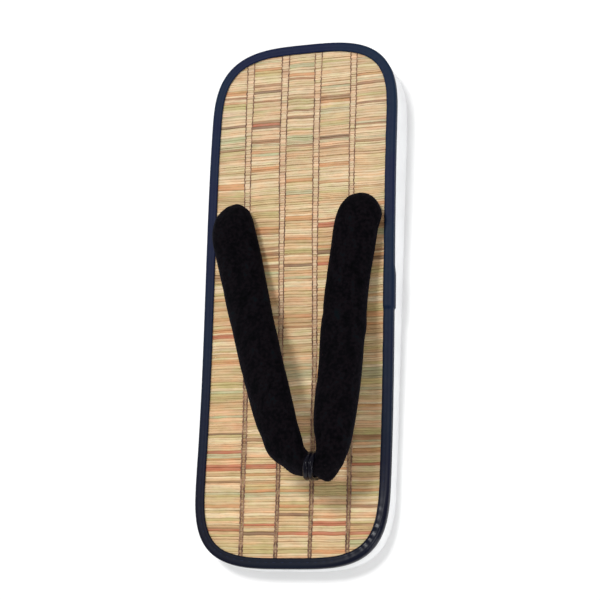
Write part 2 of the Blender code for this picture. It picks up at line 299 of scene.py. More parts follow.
def add_piece(name, mesh, looks, replaced=(), sharp_angle=50):
    """A finished piece from a bmesh, riding on the sandal's one body."""
    data = bpy.data.meshes.new(name)
    mesh.to_mesh(data)
    mesh.free()
    data.shade_smooth()
    data.set_sharp_from_angle(angle=math.radians(sharp_angle))
    data.materials.append(looks)
    piece = bpy.data.objects.new(name, data)
    bpy.context.scene.collection.objects.link(piece)
    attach(piece, "root")
    if replaced:
        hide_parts(*replaced)
    return piece


def copied(node):
    """A bmesh of a node's own shape, with its faces joined where they meet."""
    mesh = bmesh.new()
    mesh.from_mesh(frame["nodes"][node].data)
    bmesh.ops.remove_doubles(mesh, verts=mesh.verts, dist=0.000002)
    bmesh.ops.recalc_face_normals(mesh, faces=mesh.faces)
    return mesh


def skin(mesh, rings):
    """Faces between rings of vertices that follow each other."""
    for lower, upper in zip(rings, rings[1:]):
        for step in range(len(lower)):
            following = (step + 1) % len(lower)
            mesh.faces.new((lower[step], lower[following], upper[following], upper[step]))


def tube(mesh, places, radii, sides, flat=1.0, squareness=2.0, side=None, tones=None, layer=None):
    """A closed tube along some places. Flat is its height as a share of its width, and side a direction that
    lies across it all the way, worked out from level where none is given."""
    turns = [2 * math.pi * step / sides for step in range(sides)]
    section = []
    for turn in turns:
        across = math.cos(turn)
        up = math.sin(turn)
        size = (abs(across) ** squareness + abs(up) ** squareness) ** (-1 / squareness)
        section.append((across * size, up * size * flat))
    rings = []
    for i, place in enumerate(places):
        along = (places[min(i + 1, len(places) - 1)] - places[max(i - 1, 0)]).normalized()
        across = side or along.cross(Vector((0, 0, 1))).normalized()
        up = across.cross(along).normalized()
        ring = []
        for aside, above in section:
            vertex = mesh.verts.new(place + (across * aside + up * above) * radii[i])
            if layer is not None:
                vertex[layer] = tones[i]
            ring.append(vertex)
        rings.append(ring)
    skin(mesh, rings)
    mesh.faces.new(rings[0][::-1])
    mesh.faces.new(rings[-1])


def smooth_run(points, steps):
    """A finer run of places through some points."""
    places = []
    for i in range(len(points) - 1):
        before = points[max(i - 1, 0)]
        start = points[i]
        end = points[i + 1]
        after = points[min(i + 2, len(points) - 1)]
        for part in range(steps):
            t = part / steps
            places.append(0.5 * (
                2 * start + (end - before) * t + (2 * before - 5 * start + 4 * end - after) * t * t
                + (3 * start - before - 3 * end + after) * t ** 3
            ))
    return places + [points[-1]]


# Foam sole


def foam_looks():
    looks = material("white_foam", srgb(239, 240, 241), 0.5)
    nodes = Nodes(looks)
    cells = nodes.noise(2600, 3.0)
    clouds = nodes.noise(60, 3.0)
    soil = nodes.ramp(clouds, (0.35, srgb(243, 244, 245)), (0.72, srgb(235, 236, 237)))
    nodes.set(
        Base_Color=soil,
        Roughness=nodes.range(cells, 0.45, 0.62),
        Normal=nodes.bump(cells, 0.00006, 0.5, nodes.bump(clouds, 0.0006, 0.3)),
    )
    return looks


def make_foam():
    add_piece("foam_sole", copied("sole"), foam_looks(), ["sole"], sharp_angle=38)


# Straw mat

# Warp pairs, from the lateral side: where each pair's middle runs at the two tips, as seen in the photo
Warp = namedtuple("Warp", "at_heel at_toe gap_at_heel gap_at_toe")
WARPS = (
    Warp(0.0293, 0.0233, 0.0037, 0.0014),
    Warp(0.0108, 0.0060, 0.0037, 0.0010),
    Warp(-0.0066, -0.0108, 0.0034, 0.0013),
    Warp(-0.0250, -0.0290, 0.0032, 0.0015),
)
ZONES = 2 * len(WARPS) + 1
THREAD_RADIUS = 0.00027
THREAD_SIDES = 6
THREAD_DIP = 0.00018
THREAD_LEAN = 0.00010
THREAD_MARGIN = 0.0006
STRAW_WIDTHS = (0.00090, 0.00180)
STRAW_PITCH = 0.91
STRAW_HEIGHT = 0.00062
STRAW_SINK = 0.00014
STRAW_SIDES = 8
STRAW_SQUARENESS = 2.8
STRAW_INSET = 0.0028
STRAW_MARGIN = 0.0022
STRAW_STEP = 0.0030
SHORTEST_STRAW = 0.001
SHORTEST_REACH = 0.004
PRESS_REACH = 0.0007
PRESS_MARGIN = 0.0003
BOARD_DEPTH = 0.00045

# How much straws differ: in height over the mat, and from strip to strip along the sole and in height
STRAW_RISES = (-0.00009, 0.00012)
STRAW_SHIFT = 0.00014
STRAW_LIFT = 0.00004

# Where along the sole the mat's colours, and the look of its warps, change to those of the toe, as a start
# and a length
COLOUR_CHANGE = (-0.09, 0.07)
WARP_CHANGE = (-0.02, 0.09)

# How likely a row of straws has one tone in many of its zones, and how likely each zone then has it
SHARED_ROWS = 0.45
SHARED_ZONES = 0.6

# How far lightness and warmth differ, how strong a streak is, and how many millimetres past its edge it
# takes in
LIGHT_SPREAD = (0.95, 1.05)
WARMTH_SPREAD = (0.985, 1.015)
STREAK_STRENGTH = 0.76
STREAK_MARGIN = 0.1

TONES = {
    "cream": srgb(238, 219, 182),
    "pale": srgb(226, 206, 166),
    "straw": srgb(214, 187, 141),
    "peach": srgb(225, 184, 143),
    "tan": srgb(200, 164, 118),
    "olive": srgb(194, 180, 122),
    "green": srgb(182, 184, 146),
    "orange": srgb(203, 143, 92),
    "brown": srgb(148, 104, 68),
    "dark": srgb(104, 68, 44),
    "red": srgb(178, 84, 54),
    "pink": srgb(224, 194, 166),
    "warp": srgb(136, 102, 74),
}
HEEL_GROUND = srgb(206, 181, 149)
TOE_GROUND = srgb(207, 174, 131)
COMMON_TONES = (
    ("cream", 14), ("pale", 20), ("straw", 24), ("peach", 14), ("tan", 12),
    ("olive", 8), ("green", 6), ("orange", 4), ("brown", 3),
)

# Streaks that stand out, by strip between the warps, numbered from the lateral side. Along is how far from
# the middle of the sole towards the toe a streak lies, and thick how wide it is that way, in millimetres
Streak = namedtuple("Streak", "strip along thick tone")
STREAKS = (
    Streak(0, -107.0, 2.8, "orange"), Streak(0, -104.5, 1.0, "brown"), Streak(0, -99.5, 3.0, "olive"),
    Streak(0, -95.8, 1.2, "pink"), Streak(0, -88.5, 1.2, "dark"), Streak(0, -82.0, 2.4, "green"),
    Streak(0, -76.2, 1.0, "brown"), Streak(0, -57.2, 2.4, "orange"), Streak(0, -52.4, 1.6, "olive"),
    Streak(0, 14.0, 1.2, "orange"), Streak(0, 18.0, 1.4, "red"), Streak(0, 27.4, 1.0, "tan"),
    Streak(0, 45.5, 1.4, "green"), Streak(0, 66.0, 1.0, "dark"), Streak(0, 74.4, 1.6, "red"),
    Streak(0, 77.6, 1.0, "orange"), Streak(0, 82.2, 2.2, "red"), Streak(0, 88.5, 0.9, "brown"),
    Streak(0, 100.8, 1.2, "orange"), Streak(0, 112.6, 1.3, "red"),
    Streak(1, -118.5, 1.4, "orange"), Streak(1, -116.2, 2.2, "olive"), Streak(1, -110.3, 1.0, "brown"),
    Streak(1, -106.3, 0.9, "dark"), Streak(1, -101.5, 0.9, "brown"), Streak(1, -90.6, 1.2, "brown"),
    Streak(1, -89.0, 1.1, "red"), Streak(1, -87.4, 1.1, "dark"), Streak(1, -80.0, 1.9, "brown"),
    Streak(1, -73.4, 1.1, "green"), Streak(1, -65.0, 2.2, "orange"), Streak(1, -34.4, 2.4, "orange"),
    Streak(1, -21.6, 1.4, "brown"), Streak(1, -16.0, 1.8, "brown"), Streak(1, 69.2, 1.2, "brown"),
    Streak(1, 81.8, 1.8, "red"), Streak(1, 86.0, 1.2, "orange"), Streak(1, 91.4, 0.9, "brown"),
    Streak(1, 109.4, 1.4, "red"), Streak(1, 113.8, 1.1, "dark"), Streak(1, 121.6, 1.6, "olive"),
    Streak(2, -119.0, 1.6, "green"), Streak(2, -114.4, 1.9, "orange"), Streak(2, -112.2, 1.0, "brown"),
    Streak(2, -101.3, 0.9, "brown"), Streak(2, -95.4, 1.0, "brown"), Streak(2, -91.8, 1.0, "brown"),
    Streak(2, -84.8, 1.0, "olive"), Streak(2, -80.0, 2.8, "green"), Streak(2, -76.0, 1.0, "brown"),
    Streak(2, -58.4, 2.2, "orange"), Streak(2, -52.0, 1.2, "green"), Streak(2, -38.8, 1.4, "orange"),
    Streak(2, -28.4, 1.6, "orange"), Streak(2, -21.4, 1.0, "tan"), Streak(2, -15.8, 1.3, "dark"),
    Streak(2, 14.2, 1.6, "brown"), Streak(2, 28.0, 1.3, "tan"), Streak(2, 44.0, 1.4, "olive"),
    Streak(2, 88.0, 1.2, "olive"), Streak(2, 100.8, 1.5, "orange"), Streak(2, 105.0, 0.9, "dark"),
    Streak(2, 109.4, 0.9, "tan"), Streak(2, 113.0, 1.3, "red"),
    Streak(3, -119.4, 1.2, "olive"), Streak(3, -106.4, 1.2, "green"), Streak(3, -100.9, 1.2, "brown"),
    Streak(3, -98.8, 0.9, "orange"), Streak(3, -96.0, 1.4, "olive"), Streak(3, -88.0, 1.2, "olive"),
    Streak(3, -79.4, 1.4, "dark"), Streak(3, -73.8, 1.1, "brown"), Streak(3, -65.0, 1.6, "orange"),
    Streak(3, -35.0, 2.6, "red"), Streak(3, -21.4, 1.4, "dark"), Streak(3, -16.4, 1.4, "red"),
    Streak(3, 100.5, 0.9, "olive"), Streak(3, 109.2, 1.7, "red"), Streak(3, 113.9, 1.2, "red"),
    Streak(4, -111.3, 1.4, "orange"), Streak(4, -106.0, 1.2, "brown"), Streak(4, -100.4, 1.0, "olive"),
    Streak(4, -96.3, 0.9, "brown"), Streak(4, -88.0, 1.0, "olive"), Streak(4, -85.0, 0.9, "brown"),
    Streak(4, -76.0, 0.9, "brown"), Streak(4, -33.5, 1.3, "brown"), Streak(4, -21.5, 1.0, "brown"),
    Streak(4, -16.6, 1.3, "dark"), Streak(4, 0.4, 0.9, "tan"), Streak(4, 14.6, 1.3, "orange"),
    Streak(4, 33.0, 1.2, "olive"), Streak(4, 46.0, 1.2, "green"), Streak(4, 54.0, 1.6, "orange"),
    Streak(4, 68.4, 1.2, "brown"), Streak(4, 75.2, 1.9, "orange"), Streak(4, 81.0, 1.2, "red"),
    Streak(4, 100.8, 1.1, "brown"), Streak(4, 109.4, 0.9, "brown"), Streak(4, 114.0, 1.1, "red"),
)


def warp_lines(y):
    """Where the eight threads run across the mat at a distance along it, from the lateral side."""
    share = (y - HEEL_TIP) / (TOE_TIP - HEEL_TIP)
    lines = []
    for number, warp in enumerate(WARPS):
        middle = warp.at_heel + (warp.at_toe - warp.at_heel) * share
        gap = warp.gap_at_heel + (warp.gap_at_toe - warp.gap_at_heel) * share
        for side in (1, -1):
            drift = 0.0003 * wander(y * 45, number * 3.1, side * 1.7)
            lines.append(middle + side * gap / 2 + drift)
    return lines


def straw_rows():
    """Each straw's place along the sole, its width and its height over the mat's top, heel to toe."""
    chance = random.Random(SEED)
    rows = []
    y = HEEL_TIP + STRAW_MARGIN
    while y < TOE_TIP - STRAW_MARGIN:
        width = chance.uniform(*STRAW_WIDTHS)
        rows.append((y + width / 2, width, chance.uniform(*STRAW_RISES)))
        y += width * STRAW_PITCH
    return rows


def blend(first, second, share):
    return tuple(a + (b - a) * share for a, b in zip(first, second))


def ground_tone(y):
    """The mat's general colour, paler at the heel."""
    return blend(HEEL_GROUND, TOE_GROUND, changed(y, COLOUR_CHANGE))


ZoneTone = namedtuple("ZoneTone", "colour named")


def zone_tones(rows):
    """A colour for each straw in each of the mat's zones: strips between the warps, and the warps' own."""
    chance = random.Random(SEED + 1)
    names = [name for name, weight in COMMON_TONES for _ in range(weight)]
    tones = []
    left = [0] * ZONES
    current = ["straw"] * ZONES
    for y, _, _ in rows:
        toward_toe = changed(y, COLOUR_CHANGE)
        ground = ground_tone(y)
        if chance.random() < SHARED_ROWS:
            shared = chance.choice(names)
            for zone in range(ZONES):
                if chance.random() < SHARED_ZONES:
                    current[zone] = shared
                    left[zone] = chance.choice((1, 1, 2))
        row = []
        row_light = chance.uniform(*LIGHT_SPREAD)
        for zone in range(ZONES):
            if left[zone] <= 0:
                current[zone] = chance.choice(names)
                left[zone] = chance.choice((1, 1, 2, 3))
            left[zone] -= 1
            named = False
            tone = blend(ground, TONES[current[zone]], 0.50 + 0.26 * toward_toe)
            if zone % 2:
                between = blend(TONES["pink"], TONES["warp"], changed(y, WARP_CHANGE))
                tone = blend(tone, between, 0.35 + 0.35 * toward_toe)
            for streak in STREAKS:
                near = abs(y * 1000 - streak.along) < streak.thick / 2 + STREAK_MARGIN
                if zone == 2 * streak.strip and near:
                    tone = blend(ground, TONES[streak.tone], STREAK_STRENGTH)
                    named = True
            light = row_light * chance.uniform(*LIGHT_SPREAD)
            warm = chance.uniform(*WARMTH_SPREAD)
            colour = (tone[0] * light * warm, tone[1] * light, tone[2] * light / warm, 1.0)
            row.append(ZoneTone(colour, named))
        tones.append(row)
    return tones


def straw_drift(x, y):
    """How far straws bow along the sole: a slow wave that neighbours share."""
    slow = 0.0006 * wander(x * 38, y * 30, 4.0) + 0.00028 * wander(x * 120, y * 60, 9.0)
    return slow + 0.00016 * wander(x * 280, y * 110, 12.0)


def clear_runs(y, left, right):
    """The stretches of a straw that no hole cuts away."""
    runs = [(left, right)]
    holes = [(TOE_HOLE, CORD_HOLE_RADIUS)] + [(hole, TAIL_HOLE_RADIUS) for hole in SIDE_HOLES]
    for hole, radius in holes:
        away = abs(y - hole.y)
        if away < radius:
            reach = math.sqrt(radius * radius - away * away)
            cut = []
            for start, end in runs:
                cut += [(start, min(end, hole.x - reach)), (max(start, hole.x + reach), end)]
            runs = [(start, end) for start, end in cut if end - start > SHORTEST_STRAW]
    return runs


def make_board():
    """The backing under the straws: the mat's own solid with its top set down."""
    mesh = copied("straw_mat")
    for vertex in mesh.verts:
        if vertex.co.z > mat_top(vertex.co.y) - MAT_THICKNESS / 2:
            vertex.co.z -= BOARD_DEPTH
    looks = material("backing", srgb(172, 136, 94), 0.8)
    nodes = Nodes(looks)
    fibres = nodes.noise(900, 3.0)
    nodes.set(
        Base_Color=nodes.ramp(fibres, (0.3, srgb(146, 110, 74)), (0.7, srgb(188, 152, 108))),
        Normal=nodes.bump(fibres, 0.0001, 0.6),
    )
    add_piece("mat_board", mesh, looks, ["straw_mat"])


def straw_looks():
    looks = material("rush_straw", srgb(214, 187, 141), 0.42)
    nodes = Nodes(looks)
    fibres = nodes.noise(1.0, 3.0, (55, 4200, 1500))
    bands = nodes.noise(1.0, 2.0, (150, 500, 300))
    mottle = nodes.noise(1.0, 2.0, (110, 420, 110))
    flecks = nodes.noise(1.0, 2.0, (420, 900, 600))
    colour = nodes.mix(1.0, nodes.attribute("tone"), nodes.ramp(
        fibres, (0.30, (0.78, 0.73, 0.66, 1)), (0.5, (1.0, 1.0, 1.0, 1)), (0.75, (1.10, 1.09, 1.06, 1))
    ), "MULTIPLY")
    colour = nodes.mix(1.0, colour, nodes.ramp(
        bands, (0.3, (0.90, 0.86, 0.82, 1)), (0.6, (1.04, 1.04, 1.03, 1))
    ), "MULTIPLY")
    colour = nodes.mix(1.0, colour, nodes.ramp(
        mottle, (0.34, (1.08, 0.98, 0.93, 1)), (0.5, (1.0, 1.0, 1.0, 1)), (0.66, (0.94, 1.01, 0.90, 1))
    ), "MULTIPLY")
    colour = nodes.mix(nodes.range(flecks, -0.50, 0.42), colour, srgb(150, 108, 72))
    nodes.set(
        Base_Color=colour,
        Roughness=nodes.range(bands, 0.40, 0.60),
        Coat_Weight=0.10,
        Coat_Roughness=0.3,
        Normal=nodes.bump(fibres, 0.00007, 0.7),
    )
    return looks


def straw_marks(start, end, lines):
    """Where a straw has its rings: at even steps, and on both sides of each warp thread."""
    steps = np.linspace(start, end, max(2, round((end - start) / STRAW_STEP)))
    near = [line + side * PRESS_MARGIN for line in lines for side in (1, -1)]
    marks = sorted({round(x, 5) for x in [*steps, *[x for x in near if start < x < end]]})
    return [x for i, x in enumerate(marks) if i == 0 or x - marks[i - 1] > 0.0001]


def make_straws(rows, tones):
    """Each straw of the mat, bowing a little and pressed down where a warp thread crosses it."""
    mesh = bmesh.new()
    layer = mesh.verts.layers.float_color.new("tone")
    chance = random.Random(SEED + 2)
    for (y, width, rise), row in zip(rows, tones):
        lines = warp_lines(y)
        ground = (*ground_tone(y)[:3], 1.0)
        reach = inset_half_width(y, STRAW_INSET)
        shifts = [chance.uniform(-STRAW_SHIFT, STRAW_SHIFT) for _ in range(len(WARPS) + 1)]
        lifts = [chance.uniform(-STRAW_LIFT, STRAW_LIFT) for _ in range(len(WARPS) + 1)]
        if reach < SHORTEST_REACH:
            continue
        for start, end in clear_runs(y, -reach, reach):
            places = []
            radii = []
            colours = []
            for x in straw_marks(start, end, lines):
                zone = sum(x < line for line in lines)
                strip = min((zone + 1) // 2, len(WARPS))
                press = min(sum(math.exp(-((x - line) / PRESS_REACH) ** 2) for line in lines), 1.0)
                z = mat_top(y) - STRAW_HEIGHT / 2 + rise + lifts[strip] - STRAW_SINK * press
                along = y + straw_drift(x, y) + shifts[strip]
                places.append(Vector((x, along, z)))
                radii.append(width / 2 * (1 - 0.08 * press))
                fade = 0.15 + 0.30 * wander(x * 170, y * 700, 3.0) - 0.10 * row[zone].named
                colours.append(blend(row[zone].colour, ground, min(max(fade, 0.0), 0.6)))
            flat = STRAW_HEIGHT / width
            tube(mesh, places, radii, STRAW_SIDES, flat, STRAW_SQUARENESS, tones=colours, layer=layer)
    bmesh.ops.recalc_face_normals(mesh, faces=mesh.faces)
    add_piece("straws", mesh, straw_looks(), sharp_angle=70)


def make_warps(rows):
    """Eight twined threads that lie over each straw and dip between it and the next."""
    looks = material("warp_thread", srgb(112, 76, 60), 0.8)
    nodes = Nodes(looks)
    worn = nodes.noise(330, 2.0)
    twist = nodes.noise(3500, 2.0)
    nodes.set(
        Base_Color=nodes.ramp(
            worn, (0.34, srgb(92, 64, 50)), (0.5, srgb(128, 94, 74)), (0.66, srgb(168, 134, 106))
        ),
        Normal=nodes.bump(twist, 0.0001, 0.8),
    )
    mesh = bmesh.new()
    for number in range(2 * len(WARPS)):
        runs = [[]]
        for i, (y, width, rise) in enumerate(rows):
            x = warp_lines(y)[number]
            if inset_half_width(y, STRAW_INSET) < abs(x):
                continue
            lean = THREAD_LEAN * (-1) ** (i + number)
            top = mat_top(y) + rise - STRAW_SINK + THREAD_RADIUS * 0.45
            middle = Vector((x + lean, y + straw_drift(x, y), top))
            ahead = Vector((-lean * 0.5, width * STRAW_PITCH / 2, -THREAD_DIP))
            if (middle.xy - TOE_HOLE).length < CORD_HOLE_RADIUS + THREAD_MARGIN:
                runs.append([])
            else:
                runs[-1] += [middle, middle + ahead]
        for run in runs:
            if len(run) > 3:
                places = smooth_run(run, 3)
                radii = [THREAD_RADIUS * (1 + 0.4 * changed(place.y, WARP_CHANGE)) for place in places]
                tube(mesh, places, radii, THREAD_SIDES, 0.8)
    bmesh.ops.recalc_face_normals(mesh, faces=mesh.faces)
    add_piece("warp_threads", mesh, looks, sharp_angle=70)


# Binding tape

# A point of the tape's section: how far inside the edge and over the foam it lies, how much of the
# stitching's ripple it takes, and which way the lap moves it, outward and up
TapePoint = namedtuple("TapePoint", "inward height pucker outward up")
MAT_STACK = CLEARANCE + MAT_THICKNESS + CLEARANCE
TAPE_TOP = MAT_STACK + TAPE_THICKNESS

# Where the lap ends and how long it is, as seen in the photo, and how far it stands out
LAP_END = HEEL_TIP + 0.1372
LAP_LENGTH = 0.0225
LAP_RISE = 0.0006

RING_SPACING = 0.0007
STITCH_PITCH = 0.0041
STITCH_INSET = 0.0021
STITCH_LENGTH = 0.0019
STITCH_RADIUS = 0.00017
STITCH_SEAT = 0.00004
STITCH_STEPS = 6
PUCKER = 0.00004

# Where the tape is gathered round the toe's medial corner, and how far round it
GATHER_PLACE = Vector((-0.037, 0.112))
GATHER_REACH = 0.019

# What the gathers change: the edge's radius, the gloss, and from which share on they hide the stitches
GATHER_ROUNDING = 0.0009
GATHER_GLOSS = 1.3
GATHER_HIDES_STITCHES = 0.3


def tape_profile(gather):
    """The tape in section, from the foot of its wall up over the mat's edge and back underneath. Where it is
    gathered its edge is rounder."""
    top = TAPE_TOP
    radius = TAPE_EDGE_RADIUS + GATHER_ROUNDING * gather
    seam = TAPE_LIP - STITCH_INSET
    points = [TapePoint(0.0, CLEARANCE, 0.0, 1, 0), TapePoint(0.0, (top - radius) / 2, 0.1, 1, 0)]
    for turn in (0, 22, 45, 68, 90):
        across = math.cos(math.radians(turn))
        up = math.sin(math.radians(turn))
        points.append(TapePoint(radius * (1 - across), top - radius * (1 - up), 0.2, across, up))
    return points + [
        TapePoint(max(0.0015, radius + 0.0001), top + 0.00010 * (1 - gather), 0.15, 0, 1),
        TapePoint(seam - 0.0006, top + 0.00008, 0.3, 0, 1),
        TapePoint(seam, top - 0.00001, 0.6, 0, 1),
        TapePoint(seam + 0.0006, top + 0.00008, 0.8, 0, 1),
        TapePoint((seam + TAPE_LIP) / 2 + 0.0003, top + 0.00010, 1.0, 0, 1),
        TapePoint(TAPE_LIP - 0.00030, top - 0.00006, 1.0, 0, 1),
        TapePoint(TAPE_LIP, top - TAPE_THICKNESS * 0.45, 0.9, 0, 1),
        TapePoint(TAPE_LIP - 0.0001, MAT_STACK, 0.2, 0, 0),
        TapePoint(TAPE_THICKNESS, MAT_STACK, 0.0, 0, 0),
        TapePoint(TAPE_THICKNESS, CLEARANCE, 0.0, 0, 0),
    ]


def gathered(place):
    """From 0 to 1, how far the tape is bunched up round the medial corner of the toe."""
    return math.exp(-((place - GATHER_PLACE).length / GATHER_REACH) ** 2)


def lap_rise(place):
    """How far the tape stands out over its own end, on the medial side."""
    if place.x > 0:
        return 0.0
    along = (place.y - (LAP_END - LAP_LENGTH)) / LAP_LENGTH
    return LAP_RISE * ease(along * 3) * (1 - ease((along - 1) * 60 + 0.5))


def tape_looks():
    looks = material("navy_tape", srgb(16, 27, 56), 0.5)
    nodes = Nodes(looks)
    grain = nodes.noise(1500, 3.0)
    clouds = nodes.noise(28, 2.0)
    scuffs = nodes.noise(1.0, 3.0, (220, 220, 220))
    at_heel = nodes.ramp(clouds, (0.38, srgb(9, 31, 54)), (0.6, srgb(11, 22, 54)))
    at_toe = nodes.ramp(clouds, (0.38, srgb(2, 14, 32)), (0.6, srgb(4, 6, 26)))
    dull = nodes.range(scuffs, 0.50, 0.62)
    glossy = nodes.range(scuffs, 0.20, 0.30)
    nodes.set(
        Base_Color=nodes.mix(nodes.along(-0.03, 0.11), at_heel, at_toe),
        Roughness=nodes.mix(nodes.attribute("gloss"), dull, glossy),
        Specular_IOR_Level=0.15,
        Normal=nodes.bump(grain, 0.00003, 0.5),
    )
    return looks


def tape_ripple(along, count, edge):
    """The tape's rise between one stitch and the next, uneven, with finer wrinkles where it is gathered."""
    gather = gathered(edge.place(along))
    even = math.cos(2 * math.pi * count * along / edge.length)
    loose = wander(along * 420, 5.0) + 0.25 * wander(along * 800, 7.0)
    wrinkles = gather * (0.4 * even + 5.5 * loose)
    return PUCKER * ((1 + 0.6 * wander(along * 90, 2.0)) * even + loose * 0.5 + wrinkles)


def make_tape():
    """The binding with its ripples and its lap, and its row of stitches."""
    edge = Edge()
    count = round(edge.length / STITCH_PITCH)
    rings = []
    mesh = bmesh.new()
    layer = mesh.verts.layers.float_color.new("gloss")
    ring_count = round(edge.length / RING_SPACING)
    for number in range(ring_count):
        along = number * edge.length / ring_count
        place = edge.place(along)
        inward = edge.inward(along)
        ripple = tape_ripple(along, count, edge)
        wobble = 0.00012 * wander(along * 160, 8.0)
        rise = lap_rise(place)
        gather = gathered(place)
        gloss = min(gather * GATHER_GLOSS, 1.0)
        ring = []
        for point in tape_profile(gather):
            aside = point.inward + (wobble - ripple * 0.6) * point.pucker - rise * point.outward
            height = point.height + ripple * point.pucker * point.up + rise * point.up
            flat = place + inward * aside
            vertex = mesh.verts.new((flat.x, flat.y, foam_top(place.y) + height))
            vertex[layer] = (gloss, gloss, gloss, 1.0)
            ring.append(vertex)
        rings.append(ring)
    skin(mesh, rings + rings[:1])
    bmesh.ops.recalc_face_normals(mesh, faces=mesh.faces)
    add_piece("tape", mesh, tape_looks(), ["binding"], sharp_angle=60)
    make_stitches(edge, count)


def make_stitches(edge, count):
    """A running stitch along the middle of the tape, each stitch sunk at its ends."""
    mesh = bmesh.new()
    for stitch in range(count):
        middle = (stitch + 0.5) * edge.length / count
        if gathered(edge.place(middle)) > GATHER_HIDES_STITCHES:
            continue
        places = []
        for part in range(STITCH_STEPS + 1):
            share = part / STITCH_STEPS - 0.5
            along = middle + share * STITCH_LENGTH
            place = edge.place(along)
            flat = place + edge.inward(along) * (TAPE_LIP - STITCH_INSET)
            sink = 0.0004 * (2 * abs(share)) ** 4
            ripple = 0.6 * tape_ripple(along, count, edge)
            height = TAPE_TOP - STITCH_SEAT + ripple + lap_rise(place) - sink
            places.append(Vector((flat.x, flat.y, foam_top(place.y) + height)))
        tube(mesh, places, [STITCH_RADIUS] * len(places), THREAD_SIDES)
    bmesh.ops.recalc_face_normals(mesh, faces=mesh.faces)
    looks = material("stitch_thread", srgb(34, 42, 66), 0.8)
    nodes = Nodes(looks)
    plies = nodes.noise(5000, 2.0)
    nodes.set(
        Base_Color=nodes.ramp(plies, (0.35, srgb(22, 29, 50)), (0.65, srgb(40, 48, 72))),
        Specular_IOR_Level=0.1,
        Normal=nodes.bump(plies, 0.00005, 0.6),
    )
    add_piece("tape_stitches", mesh, looks, sharp_angle=80)


# Padded strap

# Soft troughs and ridges in the strap, in millimetres: each runs between two points seen from above, with
# its width and its depth, which is negative for a ridge
Crease = namedtuple("Crease", "start end width depth")
CREASES = (
    Crease((-20, 78), (-20, 96), 2.0, 0.70),
    Crease((-10, 82), (-14, 58), 1.6, 0.45),
    Crease((-24, 86), (-27, 66), 1.5, 0.60),
    Crease((-27, 89), (-32, 74), 1.4, 0.45),
    Crease((-17, 84), (-22, 76), 2.2, 0.40),
    Crease((-6, 84), (6, 72), 1.5, 0.45),
    Crease((-8, 81), (1, 62), 1.6, 0.35),
    Crease((-12, 92), (-4, 86), 1.5, 0.35),
    Crease((-33, 20), (-14, 10), 1.9, 0.55),
    Crease((-34, 26), (-20, 23), 2.4, -0.45),
    Crease((-31, 2), (-16, -6), 1.7, 0.25),
    Crease((-29, -28), (-24, -50), 1.8, 0.35),
    Crease((-39, -30), (-36, -46), 1.5, 0.35),
    Crease((37, -26), (27, -22), 1.6, 0.30),
    Crease((36, -34), (31, -48), 1.7, 0.35),
    Crease((24, -10), (36, 0), 2.0, 0.20),
    Crease((28, 18), (14, 24), 2.0, 0.25),
    Crease((22, 46), (8, 40), 1.9, 0.25),
    Crease((-12, 44), (-30, 52), 2.0, 0.22),
)

# Where the strap and the cord's loop stand out from the plain tube, in millimetres: a place, the way that it
# is pushed, and how far round it the push reaches
Push = namedtuple("Push", "at toward reach")
PUSHES = (
    Push((-16.0, 81.0, 43.0), (-2.6, -2.2, 0.0), 8.0),
    Push((-18.0, 88.0, 50.0), (-2.1, 0.0, 0.0), 7.0),
    Push((-9.0, 89.5, 40.0), (0.0, 1.3, 0.0), 5.0),
    Push((-25.9, 91.1, 37.0), (-0.3, 2.5, -0.3), 4.4),
    Push((-31.8, 89.5, 39.5), (0.5, -0.8, 0.0), 3.4),
    Push((-17.6, 93.0, 38.0), (0.0, -1.0, 0.0), 3.4),
    Push((-36.0, 83.0, 38.5), (1.6, 0.0, 0.0), 4.6),
    Push((-41.5, -36.5, 28.0), (-2.0, -0.2, 0.0), 5.2),
    Push((32.0, -46.5, 26.0), (0.3, -2.0, 0.0), 6.0),
    Push((33.0, -50.5, 33.5), (0.0, -1.1, -4.0), 6.5),
    Push((-33.5, -51.5, 33.5), (0.0, -1.1, -4.0), 6.5),
    Push((41.0, -28.0, 29.0), (0.6, 0.0, 0.0), 9.0),
    Push((-38.8, 20.0, 32.0), (-0.7, 0.0, 0.0), 5.0),
)

# How high over the mat creases and pushes start, and over what height pushes grow to their full size
CREASES_FROM = 0.0012
PUSHES_FROM = 0.0015
PUSHES_WITHIN = 0.005

# How far a crease winds aside, and how far the velvet stands out over the solid, which changes along it
CREASE_BEND = 0.0006
SWELL = 0.00018
SWELL_CHANGE = 0.00020


def pushed(place):
    """A place on the strap or the cord's loop after the pushes, which leave all in the mat as it is."""
    total = Vector((0, 0, 0))
    for push in PUSHES:
        away = (place * 1000 - Vector(push.at)).length / push.reach
        total += Vector(push.toward) / 1000 * math.exp(-away * away)
    return place + total * ease((place.z - mat_top(place.y) - PUSHES_FROM) / PUSHES_WITHIN)


def crease_depth(place):
    """How far the strap's surface is pressed in at a place, from the creases that pass near it."""
    depth = 0.0
    for crease in CREASES:
        start = Vector(crease.start) / 1000
        along = Vector(crease.end) / 1000 - start
        share = (place.xy - start).dot(along) / along.length_squared
        aside = Vector((along.y, -along.x)).normalized()
        bend = aside * CREASE_BEND * math.sin(share * 4.2 + crease.width)
        nearest = start + along * min(max(share, 0.0), 1.0) + bend
        away = (place.xy - nearest).length * 1000 / crease.width
        fade = ease(min(share, 1 - share) * 3 + 0.55)
        depth += crease.depth / 1000 * fade * math.exp(-away * away)
    return depth


